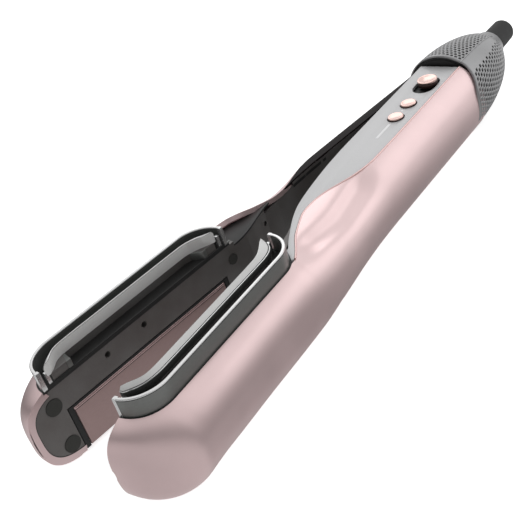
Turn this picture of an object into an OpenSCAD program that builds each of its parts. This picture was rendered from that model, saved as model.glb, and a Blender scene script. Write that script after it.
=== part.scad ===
// Two-armed hot-air hair straightener, lying on its side, arms held open by the hinge spring.
// X runs along the handle towards the tips, Z up. Z = 0 is the surface it lies on.
// Y = 0 is the plane where the two arms meet when they close.

/* [Arms] */
// Height of the flat deck that carries the air nozzle
deck_z = 37.5; // [34:0.5:41]
// Height of the flat control strip on the handle
strip_z = 38; // [36:0.5:41]
// Wall of the outer shells
wall = 2; // [1.4:0.1:2.6]
// Rest opening of the lever arm, degrees
open_deg = 9.1; // [7:0.1:12]

/* [Hinge] */
// Hinge pin position along the handle
pin_x = 12; // [10:0.5:14]
// Hinge pin position across the handle
pin_y = -16; // [-16.4:0.1:-15.8]
// Hinge pin radius
pin_r = 1.5; // [1.2:0.1:1.6]
// Radius of the hinge ears and knuckle
ear_r = 3; // [2.6:0.1:3.1]

/* [Air nozzle] */
// Rear end of the nozzle wall
noz_x0 = 168.3; // [166:0.1:171]
// Front end of the nozzle wall
noz_x1 = 273.4; // [271:0.1:275]
// Half width of the nozzle, over its wall
noz_w = 15.4; // [14:0.1:16]
// Top of the nozzle wall
noz_z = 45.9; // [44:0.1:48]
// Thickness of the nozzle wall
noz_t = 1.5; // [1.2:0.1:2.4]
// Top of the inner bar
bar_z = 47.3; // [46:0.1:50]

/* [Heated plates] */
// Rear end of each heated plate
plate_x0 = 177; // [174:0.5:180]
// Front end of each heated plate
plate_x1 = 265.4; // [260:0.1:268]
// Lower edge of each heated plate
plate_z0 = 1.4; // [1:0.1:3]
// Upper edge of each heated plate
plate_z1 = 21.8; // [18:0.1:24]
// Gap from the plate face to the meeting plane
plate_gap = 0.3; // [0.2:0.05:1]
// Gap from the arm's inner face to the meeting plane
face_gap = 0.6; // [0.5:0.1:2]

/* [Controls] */
// Radius of the two push buttons
button_r = 4; // [3:0.1:5]
// Distance of the first button along the handle
button_x1 = 46.5; // [44:0.5:48]
// Distance of the second button along the handle
button_x2 = 59.7; // [58:0.1:62]
// Sideways position of the controls
control_y = 0.8; // [0:0.1:2]
// Radius of the power slider knob
knob_r = 5.2; // [4:0.1:6]
// Slider knob position along the handle
knob_x = 25.4; // [24:0.1:28]
// Travel of the slider knob towards the buttons
slide = 4.6; // [3:0.1:8]

/* [Handle end] */
// Sideways position of the handle's round axis
axis_y = -1.5; // [-2:0.1:0]
// Height of the handle's round axis
axis_z = 21.5; // [20:0.1:22]
// Front radius of the intake cap
cap_r = 21.4; // [20:0.1:23]
// Front edge of the intake cap
cap_x1 = 6.5; // [5:0.5:8]
// Rear end of the intake cap
cap_x0 = -46; // [-50:1:-44]
// Radius of the cord sleeve where it leaves the cap
sleeve_r = 7; // [6:0.1:8]
// Rear end of the cord sleeve
sleeve_x0 = -66; // [-72:1:-60]
// Radius of the bore that takes the power cord
cord_r = 3.1; // [2.5:0.1:4]
// Motor radius
motor_r = 12; // [10:0.5:12.5]

/* [Hidden] */
$fn = 64;
eps = 0.01;
slice_t = 0.1;
// Plain band of the intake cap, its angle round the handle, and the rows of holes beside it
band_deg = 55;
hole_rows = 6;
hole_cols = 16;

// Colours
pink = [0.86, 0.68, 0.67];
silver = [0.80, 0.80, 0.81];
grey = [0.42, 0.43, 0.43];
dark = [0.22, 0.21, 0.20];
black = [0.07, 0.07, 0.07];
rose = [0.72, 0.56, 0.54];
rose_gold = [0.85, 0.62, 0.56];
steel = [0.62, 0.63, 0.64];
green = [0.10, 0.32, 0.20];
copper = [0.72, 0.42, 0.25];

// Plan outline of an arm: distance along the arm against distance out from the meeting plane
inner_tab = [[0, -12.3], [92, -12.2], [104, -11.8], [115, -10.9], [127, -9.4], [138, -7.2],
    [144, -5.2], [150, -3.0], [156, -1], [161, 0.1], [166, 0.6], [300, 0.6]];
outer_tab = [[0, 21], [60, 21.2], [95, 21.2], [115, 21.4], [135, 22.6], [150, 24], [180, 26],
    [215, 26.4], [245, 27.6], [256, 27.5], [264, 26.8], [272, 24], [277, 20.2], [281, 15.8],
    [284, 11], [285.8, 6.4], [286.8, 2.6]];
top_tab = [[0, 10], [95, 9.6], [103, 8], [111, 5.4], [118, 2.6], [127, -0.7], [137, -2.1],
    [142, -1.6], [147, 0], [158, 4.8], [168, 11], [175, 15.4], [262, 15], [267, 12.4],
    [272, 8], [278, 5], [284, 2.4], [286.8, 1.4]];
base_tab = [[0, 8], [262, 8], [274, 5], [284, 2.4], [286.8, 1.4]];
high_tab = [[0, 38], [150, 38], [160, 37.5], [270, 37.4], [275, 36.8], [280, 35.1], [284, 31.8],
    [285.8, 28.6], [286.8, 23]];
low_tab = [[0, 0], [258, 0], [266, 0.1], [271, 0.4], [276, 1.1], [280, 2.7], [284, 6.2],
    [285.8, 10], [286.8, 16]];
mid_tab = [[0, 21], [100, 21], [150, 19], [300, 19]];
stations = [7, 30, 60, 92, 103, 111, 118, 127, 137, 147, 158, 168, 176, 200, 230, 250, 262, 267,
    272, 277, 281, 284, 285.8, 286.8];
// The lever arm follows the same outline from the waist on, and narrows to a channel behind it
lever_inner_tab = [[0, 13], [92, 12.9], [104, 12.5], [115, 11.6], [127, 10.1], [138, 7.9],
    [144, 5.9], [150, 3.7], [156, 1.8], [161, 0.9], [166, 0.6], [300, 0.6]];
lever_outer_tab = [[0, 22.4], [30, 22.4], [95, 22.2], [115, 21], [128, 20.4], [138, 21], [150, 23],
    [180, 26], [215, 26.4], [245, 27.6], [256, 27.5], [264, 26.8], [272, 24], [277, 20.2],
    [281, 15.8], [284, 11], [285.8, 6.4], [286.8, 2.6]];
lever_top_tab = [[0, 17.6], [92, 17.4], [104, 16.2], [115, 12.8], [127, 10.9], [138, 9.2],
    [147, 9.6], [158, 12.8], [168, 14.6], [175, 15.4], [262, 15], [267, 12.4], [272, 8],
    [278, 5], [284, 2.4], [286.8, 1.4]];
lever_high_tab = [[0, 33.2], [104, 33.2], [118, 33.3], [128, 33.8], [138, 35.6], [150, 37.5],
    [270, 37.4], [275, 36.8], [280, 35.1], [284, 31.8], [285.8, 28.6], [286.8, 23]];
lever_low_tab = [[0, 2], [92, 2], [140, 1.2], [160, 0.4], [258, 0.4], [266, 0.4], [271, 0.6],
    [276, 1.2], [280, 2.7], [284, 6.2], [285.8, 10], [286.8, 16]];
lever_base_tab = [[0, 14.4], [104, 13.6], [127, 11.2], [150, 8.5], [262, 8], [274, 5], [284, 2.4],
    [286.8, 1.4]];
lever_stations = [8.5, 30, 60, 92, 104, 115, 127, 138, 150, 158, 168, 176, 200, 230, 250, 262,
    267, 272, 277, 281, 284, 285.8, 286.8];
// Outline of the inner face at the tip, seen from the side
face_h = 0.5 * deck_z;

// A closed section of an arm, its inner side moved by s and its outside moved in by w
function section(yi, yt, yo, yb, zt, zc, zb, w, s, n = 8, e = 2.2) = concat(
    [[yi - s, zb + w], [yi - s, zt - w]],
    [for (k = [0:n]) let (a = 90 - k * 90 / n)
        [yt + (yo - w - yt) * pow(cos(a), 2 / e), zc + (zt - w - zc) * pow(sin(a), 2 / e)]],
    [for (k = [1:n]) let (a = k * 90 / n)
        [yb + (yo - w - yb) * pow(cos(a), 2 / e), zc - (zc - zb - w) * pow(sin(a), 2 / e)]]);

function handle_section(x, w, s) = section(lookup(x, inner_tab) + (x < 165 ? 0 : 0.2),
    lookup(x, top_tab), lookup(x, outer_tab), lookup(x, base_tab), lookup(x, high_tab),
    lookup(x, mid_tab), lookup(x, low_tab), w, s);

function lever_section(x, w, s) = section(lookup(x, lever_inner_tab) + (x < 165 ? 0 : 0.2),
    lookup(x, lever_top_tab), lookup(x, lever_outer_tab), lookup(x, lever_base_tab),
    lookup(x, lever_high_tab), 19, lookup(x, lever_low_tab), w, s);

// A thin slice of a section, standing across X
module slice(x, pts) {
    translate([x, 0, 0])
        rotate([90, 0, 90])
            linear_extrude(slice_t)
                polygon(pts);
}

// A solid through the sections at the stations xs
module handle_loft(xs, w, s) {
    for (i = [0:len(xs) - 2])
        hull() {
            slice(xs[i], handle_section(xs[i], w, s));
            slice(xs[i + 1], handle_section(xs[i + 1], w, s));
        }
}

module lever_loft(xs, w, s) {
    for (i = [0:len(xs) - 2])
        hull() {
            slice(xs[i], lever_section(xs[i], w, s));
            slice(xs[i + 1], lever_section(xs[i + 1], w, s));
        }
}

// A block standing on a plan outline
module prism(pts, z0, z1) {
    translate([0, 0, z0])
        linear_extrude(z1 - z0)
            polygon(pts);
}

// A round bar along X, Y or Z
module bar_x(x0, x1, y, z, r) {
    translate([x0, y, z])
        rotate([0, 90, 0])
            cylinder(h = x1 - x0, r = r);
}

module bar_y(x, y0, y1, z, r) {
    translate([x, y1, z])
        rotate([90, 0, 0])
            cylinder(h = y1 - y0, r = r);
}

module post(x, y, z0, z1, r) {
    translate([x, y, z0])
        cylinder(h = z1 - z0, r = r);
}

module box(x0, x1, y0, y1, z0, z1) {
    translate([x0, y0, z0])
        cube([x1 - x0, y1 - y0, z1 - z0]);
}

// Sets the origin on the surface it lies on, beside the hinge pin
module framed() {
    translate([-pin_x, 0, 0])
        children();
}

// Puts a piece drawn for the handle arm on the lever arm, swung open on the hinge pin
module on_lever() {
    translate([pin_x, pin_y, 0])
        rotate([0, 0, -open_deg])
            translate([-pin_x, -pin_y, 0])
                mirror([0, 1, 0])
                    children();
}

// Plan of the half nozzle: straight side, elliptical corners, open at the meeting plane
function nozzle_plan(g, y0, n = 12) = concat(
    [for (k = [0:n]) let (a = k * 90 / n)
        [257 + (noz_x1 - g - 257) * cos(a), y0 + (noz_w - g - y0) * sin(a)]],
    [for (k = [0:n]) let (a = 90 + k * 90 / n)
        [183 + (183 - noz_x0 - g) * cos(a), y0 + (noz_w - g - y0) * sin(a)]]);

// Plan of the inner bar, bent to the meeting plane at both ends, and of what carries it
bar_plan = [[174.4, 0.6], [178, 2.2], [182.6, 4.2], [185, 5], [187.5, 6.2], [256, 6.3], [260, 6],
    [262.4, 4.2], [265, 1.9], [267.4, 0.6], [269, 0.6], [268.3, 2.4], [265.6, 5], [261.6, 7.7],
    [254.5, 8.9], [186, 9], [181, 8.6], [177.3, 7], [175, 4.5], [173.8, 2.2]];
under_plan = [[180.2, 0.7], [182, 0.7], [184.6, 5.6], [188, 7.2], [255.6, 7.2], [257.6, 5.6],
    [258.6, 0.7], [260.4, 0.7], [260.4, 6.8], [254.5, 8.6], [186, 8.6], [180.2, 7.6]];

// Plan of the air slot through the deck, outside the bar
slot_plan = [[188, 9.1], [255, 9.1], [255, 13.8], [188, 13.8]];

// Side outline of the inner face, in X and Z, rounded at the tip
function tip_outline(x0, g) = concat(
    [[x0, 0.8 + g]],
    [for (k = [0:14]) let (a = -90 + k * 90 / 7)
        [262 + (22.2 - g) * pow(cos(a), 2 / 3.1),
         face_h + 0.2 + (face_h - 0.8 - g) * sign(a) * pow(abs(sin(a)), 2 / 3.1)]],
    [[x0, deck_z - 0.4 - g]]);

// ---- pieces drawn for the handle arm and shared by both arms ----

// Seats cut in a shell for the nozzle and for the inner face
module nozzle_seat() {
    prism(concat([[noz_x1 + 0.12, -3]], nozzle_plan(-0.12, 0.3), [[noz_x0 - 0.12, -3]]), deck_z - 3, 60);
}

module face_seat() {
    translate([0, 3.3, 0])
        rotate([90, 0, 0])
            linear_extrude(8)
                polygon(tip_outline(164.8, 0.5));
}

module arm_liner() {
    difference() {
        union() {
            translate([0, 3.2, 0])
                rotate([90, 0, 0])
                    linear_extrude(3.2 - face_gap)
                        polygon(tip_outline(165, 0.6));
            box(176, 262, 3.2, 7, 27, 33.4);
            box(165, 172.5, 3.2, 12.5, 4, 33.4);
            box(269.5, 275, 3.2, 10, 10, 30);
            // deck under the nozzle
            difference() {
                prism(nozzle_plan(noz_t + 0.15, face_gap), 35, deck_z - 0.4);
                prism(slot_plan, 34, deck_z + 1);
            }
        }
        box(plate_x0 - 2.7, plate_x1 + 2.9, -1, 3.3, -1, plate_z1 + 1.5);
        box(160, 168.1, -1, 14, 35.8, 40);
        for (z = [28.1, 8.1])
            bar_y(272.7, 0, 9, z, 3.85);
        bar_y(167.2 + 1, 0, 9, 28.4, 2.55);
        for (x = [242.2, 221.5])
            bar_y(x, 0, 9, 31.6, 1.4);
    }
}

module nozzle_wall() {
    difference() {
        prism(nozzle_plan(0, 0.3), deck_z - 0.35, noz_z);
        prism(concat([[noz_x1 - noz_t, -1]], nozzle_plan(noz_t, 0.3), [[noz_x0 + noz_t, -1]]), 30,
            noz_z + 1);
    }
    difference() {
        prism(nozzle_plan(noz_t - eps, face_gap),
            deck_z - 0.35, deck_z + 0.6);
        prism(slot_plan, 30, 50);
    }
}

module nozzle_bar() {
    difference() {
        prism(bar_plan, 41.7, bar_z);
        // the top slopes down to the air slot
        translate([150, 6.3, bar_z])
            rotate([-33.7, 0, 0])
                cube([140, 12, 8]);
    }
    prism(under_plan, deck_z + 0.6, 41.7 + eps);
    for (x = [170.8, 268.6])
        box(x, x + 1.8, 0.7, 2.4, deck_z + 0.6, 41.7);
}

module plate() {
    box(plate_x0, plate_x1, plate_gap, plate_gap + 2.4, plate_z0, plate_z1);
    box(plate_x0 + 5, plate_x1 - 5, plate_gap + 2.4 - eps, plate_gap + 3.6, 5, 18);
}

module plate_frame() {
    difference() {
        union() {
            box(plate_x0 - 2.4, plate_x1 + 2.6, face_gap - 0.15, 3.3, 2.8, plate_z1 + 1.2);
            box(plate_x0 + 1, plate_x1 - 1.4, 3.3 - eps, 10, 4, 22);
        }
        box(plate_x0 - 0.3, plate_x1 + 0.3, -1, 3.4, 0, plate_z1 + 0.35);
        box(plate_x0 + 4, plate_x1 - 4, 3.3, 8.6, 4.8, 20);
    }
    box(plate_x1 + 0.4, plate_x1 + 2.6, face_gap - 0.15, 3.2, 1.2, 2.8 + eps);
}

module heater() {
    box(plate_x0 + 8, plate_x1 - 8, plate_gap + 3.6, plate_gap + 5.4, 6, 17);
}

module plate_springs() {
    for (x = [plate_x0 + 20, plate_x1 - 20])
        difference() {
            bar_y(x, 6.7, 8.55, 11.5, 3.2);
            bar_y(x, 6, 9, 11.5, 2.2);
        }
}

module stop_pads() {
    for (z = [28.1, 8.1])
        bar_y(272.7, face_gap - 0.3, 3.6, z, 3.8);
    bar_y(168.2, face_gap - 0.3, 3.6, 28.4, 2.5);
}

module face_screw(x, z) {
    difference() {
        union() {
            bar_y(x, 3.3, 5, z, 1.38);
            bar_y(x, 5 - eps, 9, z, 0.8);
        }
        translate([x, 3.2, z])
            rotate([-90, 0, 0])
                cylinder(h = 0.9, r = 0.7, $fn = 6);
    }
}

module face_screws() {
    face_screw(242.2, 31.6);
    face_screw(221.5, 31.6);
}

// ---- handle arm ----

module handle_shell() {
    color(pink) framed()
        union()
            difference() {
                handle_loft(stations, 0, 0);
                handle_loft([for (x = stations) if (x > 8 && x < 284.5) x], wall, 6);
                hull() {
                    slice(6, handle_section(7, wall, 6));
                    slice(31, handle_section(30, wall, 6));
                }
                nozzle_seat();
                face_seat();
                prism(strip_plan(0.42, -1, -2, 1.2), strip_z - 3, 60);
                box(5, 160, -20, 7.4, -1, 3);
                box(plate_x0 - 3.2, 268.4, -5, 3.6, -1, 6);
            }
}

// Plan of the control strip between the lever side and the shell seam, grown outwards by g,
// by gi on the lever side, gx at the rear and gf at the nozzle end
function strip_plan(g, gi, gx, gf) = concat(
    [for (x = [cap_x1 + 0.6 + gx, 61.3, 93.4, 104.6, 112.7, 119.4, 128.3, 138.4, 143.1, 148.6, 153,
        158.9, 163.2, 166])
        [x, lookup(x, inner_tab) + gi]],
    [[167.2 + gf, 3.4], [169 + gf, 9], [171.8 + gf, 12.8], [173.6 + gf, 14.4 + g]],
    [for (x = [172.6, 166.7, 159.4, 153, 148.6, 143.1, 138.4, 132, 128.3, 119.4, 112.7, 104.6, 96.3,
        61.3, cap_x1 + 0.6 + gx])
        [x, lookup(x, top_tab) + g]]);

module control_strip() {
    color(silver) framed()
        difference() {
            prism(strip_plan(0.15, 0.2, 0.3, 0), 36, strip_z);
            for (x = [button_x1, button_x2])
                post(x, control_y, 30, 45, button_r + 0.25);
            // long recess of the slider
            hull() {
                post(knob_x, control_y, strip_z - 1, 45, knob_r + 0.5);
                post(knob_x + slide, control_y, strip_z - 1, 45, knob_r + 0.5);
            }
            box(knob_x - 2.1, knob_x + slide + 2.1, control_y - 1.6, control_y + 1.6, 30, 45);
            box(66, 79, control_y - 0.75, control_y + 0.75, 30, 45);
            post(53.1, control_y, 30, 45, 0.7);
        }
}

module base_strip() {
    color(silver) framed()
        difference() {
            prism([[8, -11.6], [92, -11.4], [115, -10], [138, -6.4], [150, -2.2], [158, 1],
                [158, 6.9], [8, 6.9]], 0, 1.9);
            for (x = [24, 84])
                post(x, -2, -1, 0.9, 2.4);
        }
}

module handle_side_wall() {
    color(dark) framed()
        difference() {
            prism(concat(
                [for (x = [22, 60, 92, 104, 115, 127, 138, 144, 150, 156, 161, 164.8])
                    [x, lookup(x, inner_tab)]],
                [for (x = [164.8, 161, 156, 150, 144, 138, 127, 115, 104, 92, 60, 22])
                    [x, lookup(x, inner_tab) + 1.8]]), 2.1, 35.8);
            bar_y(140, -12, 0, 27.2, 1.2);
        }
}

module hinge_ears() {
    color(dark) framed()
        difference() {
            union() {
                for (z = [9.5, 25.5]) {
                    post(pin_x, pin_y, z, z + 3, ear_r);
                    box(pin_x - 2.6, pin_x + 2.6, pin_y, -12.2, z, z + 3);
                }
                box(9, 21.8, -12.3, -11.1, 2.1, 35.8);
            }
            post(pin_x, pin_y, 0, 40, pin_r);
        }
}

module hinge_pin() {
    color(steel) framed() {
        post(pin_x, pin_y, 9.2, 28.8, pin_r);
        post(pin_x, pin_y, 28.8 - eps, 29.4, pin_r + 0.7);
    }
}

module hinge_spring() {
    color(steel) framed() {
        for (k = [0:3])
            translate([pin_x, pin_y, 13.2 + 1.1 * k])
                rotate_extrude()
                    translate([2.3, 0])
                        circle(r = 0.35, $fn = 24);
        for (k = [0:2])
            post(pin_x + 2.3 * cos(90 * k), pin_y + 2.3 * sin(90 * k), 13.2 + 1.1 * k,
                14.3 + 1.1 * k, 0.3);
        bar_y(pin_x + 2.3, pin_y, -12.4, 13.2, 0.3);
        bar_x(pin_x, pin_x + 8, pin_y - 2.3, 16.5, 0.3);
    }
}

module core_ring() {
    color(dark) framed()
        intersection() {
            translate([0, axis_y, axis_z])
                rotate([0, 90, 0])
                    rotate_extrude()
                        polygon([[13.4, 0], [19.4, 0], [19.4, 6.8], [18.2, 6.8], [18.2, 8.6],
                            [13.4, 8.6]]);
            union() {
                box(-1, 6.8, -30, 30, -5, 50);
                box(6, 8.7, -12, 30, 2.3, 35.8);
            }
        }
}

module motor_housing() {
    color(dark) framed()
        translate([0, axis_y, axis_z])
            rotate([0, 90, 0])
                rotate_extrude()
                    polygon([[12.4, -27], [13.35, -27], [13.35, 8.5], [10.6, 8.5], [10.6, 7.6],
                        [12.4, 7.6]]);
}

module motor() {
    color(steel) framed() {
        translate([0, axis_y, axis_z])
            rotate([0, 90, 0])
                rotate_extrude()
                    polygon([[1.55, -22], [9, -22], [9, -20], [motor_r - 0.9, -20],
                        [motor_r - 0.9, 0], [9, 0], [9, 2], [1.55, 2]]);
        // windings seen at the back of the motor
        for (k = [0:5])
            bar_x(-24, -22 + eps, axis_y + 6 * cos(60 * k), axis_z + 6 * sin(60 * k), 1.6);
    }
}

module motor_mounts() {
    color(black) framed()
        for (x = [-18.5, -4.5])
            translate([x, axis_y, axis_z])
                rotate([0, 90, 0])
                    difference() {
                        cylinder(h = 3, r = 12.38);
                        translate([0, 0, -1])
                            cylinder(h = 5, r = motor_r - 0.88);
                    }
}

module impeller() {
    color(grey) framed() {
        bar_x(-21, 11.6, axis_y, axis_z, 1.5);
        bar_x(3.4, 11.4, axis_y, axis_z, 3.2);
        for (k = [0:8])
            translate([3.6, axis_y, axis_z])
                rotate([40 * k, 0, 0])
                    translate([0, 2.8, -0.5])
                        cube([3.6, 5.6, 1]);
    }
}

module impeller_guard() {
    color(dark) framed()
        translate([0, axis_y, axis_z]) {
            rotate([0, 90, 0])
                rotate_extrude()
                    polygon([[8.9, 8.6], [9.4, 8.6], [9.4, 14], [7.6, 14], [7.6, 12.6], [8.9, 12.6]]);
            for (k = [0:3])
                rotate([45 + 90 * k, 0, 0])
                    translate([12.6, 0, -0.8])
                        cube([1.4, 8, 1.6]);
        }
}

module air_duct() {
    color(dark) framed()
        difference() {
            prism([[15, -9.4], [92, -9.4], [120, -6.6], [136, -3.6], [150, 1.6], [161, 5],
                [161, 14], [135, 13], [15, 13.4]], 7, 25);
            prism([[14, -8.2], [92, -8.2], [120, -5.4], [136, -2.4], [150, 2.8], [161.2, 6.4],
                [161.2, 12.8], [135, 11.8], [14, 12.2]], 8.2, 23.8);
        }
}

module control_board() {
    color(green) framed()
        box(18, 96, -7, 7.6, 30.2, 31.8);
}

module tact_switches() {
    color(black) framed()
        for (x = [button_x1, button_x2])
            box(x - 3, x + 3, control_y - 3, control_y + 3, 31.8, 33.4);
}

module slide_switch() {
    color(black) framed()
        difference() {
            box(knob_x - 5, knob_x + slide + 5, control_y - 3.4, control_y + 3.4, 31.8, 35.4);
            box(knob_x - 2.2, knob_x + slide + 2.2, control_y - 1.7, control_y + 1.7, 33, 36);
        }
}

module power_slider() {
    color(rose_gold) framed() {
        translate([knob_x, control_y, 0])
            rotate_extrude()
                polygon([[0, strip_z - 0.9], [knob_r, strip_z - 0.9], [knob_r, strip_z + 1.9],
                    [knob_r - 0.6, strip_z + 2.5], [0, strip_z + 2.5]]);
        box(knob_x - 1.9, knob_x + 1.9, control_y - 1.4, control_y + 1.4, 33.4, strip_z - 0.9 + eps);
    }
}

module push_button(x) {
    color(rose_gold) framed() {
        translate([x, control_y, 0])
            rotate_extrude()
                polygon([[0, 36.3], [button_r, 36.3], [button_r, strip_z + 0.7],
                    [button_r - 0.4, strip_z + 1.1], [0, strip_z + 1.1]]);
        post(x, control_y, 34.3, 36.3 + eps, 1.2);
    }
}

module mode_button() {
    push_button(button_x1);
}

module heat_button() {
    push_button(button_x2);
}

module light_bar() {
    color([0.97, 0.97, 0.98]) framed()
        box(66.1, 78.9, control_y - 0.65, control_y + 0.65, 36.4, strip_z + 0.05);
}

module indicator_light() {
    color([0.97, 0.97, 0.98]) framed()
        post(53.1, control_y, 36.2, strip_z + 0.05, 0.6);
}

// ---- handle end ----

// Radius of the intake cap along the handle
function cap_at(x) = cap_r * pow(1 - pow((cap_x1 - x) / 55.6, 1.85), 1 / 1.85);

module intake_cap() {
    xs = [for (k = [0:8]) cap_x1 - k * (cap_x1 + 45) / 8];
    color(silver) framed()
        union()
            difference() {
                translate([0, axis_y, axis_z])
                    rotate([0, 90, 0])
                        rotate_extrude($fn = 64)
                            polygon(concat(
                                [for (x = xs) [max(cap_at(x), 8.7), x]],
                                [[8.7, cap_x0], [7.4, cap_x0]],
                                [for (k = [8:-1:0]) [max(cap_at(xs[k]) - 1.4, 7.4), xs[k]]]));
                for (row = [0:hole_rows - 1])
                    for (k = [0:hole_cols - 1])
                        cap_hole(cap_x1 - 6.5 - 5.6 * row, (k + 0.5 * (row % 2)) * 360 / hole_cols);
            }
}

// One rounded hole through the cap, left out where the plain band runs
module cap_hole(x, a) {
    off = abs((a - band_deg + 540) % 360 - 180);
    if (off > 13)
        translate([x, axis_y, axis_z])
            rotate([a, 0, 0])
                hull()
                    for (s = [-0.6, 0.6])
                        translate([0, 4, s])
                            rotate([-90, 0, 0])
                                cylinder(h = 24, r = 1.2, $fn = 8);
}

module filter_mesh() {
    color(black) framed()
        translate([0, axis_y, axis_z])
            rotate([0, 90, 0])
                rotate_extrude()
                    polygon(concat(
                        [for (x = [-1, -6, -11, -16, -21, -26]) [cap_at(x) - 2.2, x]],
                        [for (x = [-26, -21, -16, -11, -6, -1]) [cap_at(x) - 2.8, x]]));
}

module rear_frame() {
    color(dark) framed() {
        translate([0, axis_y, axis_z])
            rotate([0, 90, 0])
                rotate_extrude()
                    polygon([[5.1, -39.5], [8.6, -39.5], [8.6, -37], [5.1, -37]]);
        for (k = [0:2])
            translate([0, axis_y, axis_z])
                rotate([120 * k + 30, 0, 0])
                    translate([-37 - eps, 6.4, -1])
                        cube([9.6, 2, 2]);
        translate([0, axis_y, axis_z])
            rotate([0, 90, 0])
                rotate_extrude()
                    polygon([[6.2, -27.7], [13.3, -27.7], [13.3, -27.05], [6.2, -27.05]]);
    }
}

// Tapered sleeve, its inner end turning in the rear frame
module cord_sleeve() {
    color([0.33, 0.33, 0.33]) framed()
        translate([0, axis_y, axis_z])
            rotate([0, 90, 0])
                rotate_extrude()
                    polygon(concat([[cord_r, -35.4], [cord_r, sleeve_x0]],
                        [[5.2, sleeve_x0], [6, sleeve_x0 + 0.5], [6.4, sleeve_x0 + 1.4],
                            [sleeve_r - 0.1, -46], [sleeve_r, -40.2], [5.05, -40.2], [5.05, -35.4]]));
}

module sleeve_collar() {
    color(steel) framed()
        translate([0, axis_y, axis_z])
            rotate([0, 90, 0])
                rotate_extrude()
                    polygon([[5.05, -36.8], [6.2, -36.8], [6.2, -35.6], [5.05, -35.6]]);
}

// ---- lever arm ----

module lever_shell() {
    color(pink) framed()
        on_lever()
            union()
                difference() {
                    lever_loft(lever_stations, 0, 0);
                    lever_loft([for (x = lever_stations) if (x > 9 && x < 284.5) x], wall, 6);
                    hull() {
                        slice(9.9, lever_section(10, wall, 6));
                        slice(31, lever_section(30, wall, 6));
                    }
                    nozzle_seat();
                    face_seat();
                    // room for the hinge ears and the spring
                    box(7, 16, 12, 19.5, 8.9, 29.9);
                    box(plate_x0 - 3.2, 268.4, -5, 3.6, -1, 6);
                }
}

// Dark lining of the channel behind the waist
module lever_channel() {
    xs = [24.2, 32, 46, 60, 76, 92, 104, 113.8];
    color(dark) framed()
        on_lever()
            union()
                difference() {
                    lever_loft(xs, wall + 0.1, 0);
                    lever_loft(concat([23], [for (x = xs) if (x > 30 && x < 110) x], [115]),
                        wall + 1.5, 6);
                }
}

module lever_liner() {
    color(dark) framed()
        on_lever() {
            arm_liner();
            difference() {
                union() {
                    prism(concat(
                        [for (x = [114, 127, 138, 144, 150, 156, 161, 165 + eps])
                            [x, lookup(x, lever_inner_tab)]],
                        [for (x = [165 + eps, 161, 156, 150, 144, 138, 127, 114])
                            [x, lookup(x, lever_inner_tab) + 1.2]]), 4, 31.1);
                    prism(concat(
                        [for (x = [138, 144, 150, 156, 161, 165 + eps])
                            [x, lookup(x, lever_inner_tab)]],
                        [for (x = [165 + eps, 161, 156, 150, 144, 138])
                            [x, lookup(x, lever_inner_tab) + 1.2]]), 31.1 - eps, 33.4);
                }
                bar_y(140, 0, 12, 27.2, 1.2);
            }
        }
}

module lever_knuckle() {
    color(dark) framed()
        on_lever()
            difference() {
                union() {
                    post(pin_x, -pin_y, 17.4, 25.2, ear_r);
                    box(pin_x, 24, 14.4, 19.4, 17.4, 25.2);
                }
                post(pin_x, -pin_y, 0, 40, pin_r + 0.05);
            }
}

module handle_liner() {
    color(dark) framed()
        arm_liner();
}

module handle_nozzle_wall() {
    color(grey) framed()
        nozzle_wall();
}

module lever_nozzle_wall() {
    color(grey) framed()
        on_lever()
            nozzle_wall();
}

module handle_nozzle_bar() {
    color(silver) framed()
        nozzle_bar();
}

module lever_nozzle_bar() {
    color(silver) framed()
        on_lever()
            nozzle_bar();
}

module handle_plate() {
    color(rose) framed()
        plate();
}

module lever_plate() {
    color(rose) framed()
        on_lever()
            plate();
}

module handle_plate_frame() {
    color(black) framed()
        plate_frame();
}

module lever_plate_frame() {
    color(black) framed()
        on_lever()
            plate_frame();
}

module handle_heater() {
    color(copper) framed()
        heater();
}

module lever_heater() {
    color(copper) framed()
        on_lever()
            heater();
}

module handle_plate_springs() {
    color(steel) framed()
        plate_springs();
}

module lever_plate_springs() {
    color(steel) framed()
        on_lever()
            plate_springs();
}

module handle_stop_pads() {
    color(black) framed()
        stop_pads();
}

module lever_stop_pads() {
    color(black) framed()
        on_lever()
            stop_pads();
}

module handle_face_screws() {
    color(steel) framed()
        face_screws();
}

module lever_face_screws() {
    color(steel) framed()
        on_lever()
            face_screws();
}

handle_shell();
handle_liner();
handle_side_wall();
control_strip();
base_strip();
core_ring();
motor_housing();
motor();
motor_mounts();
impeller();
impeller_guard();
air_duct();
control_board();
tact_switches();
slide_switch();
power_slider();
mode_button();
heat_button();
light_bar();
indicator_light();
intake_cap();
filter_mesh();
rear_frame();
cord_sleeve();
sleeve_collar();
hinge_pin();
hinge_spring();
hinge_ears();
handle_nozzle_wall();
handle_nozzle_bar();
handle_plate();
handle_plate_frame();
handle_heater();
handle_plate_springs();
handle_stop_pads();
handle_face_screws();
lever_shell();
lever_liner();
lever_channel();
lever_knuckle();
lever_nozzle_wall();
lever_nozzle_bar();
lever_plate();
lever_plate_frame();
lever_heater();
lever_plate_springs();
lever_stop_pads();
lever_face_screws();
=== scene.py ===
import math
import bmesh
import bpy
import numpy as np
from mathutils import Matrix, Vector


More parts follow.
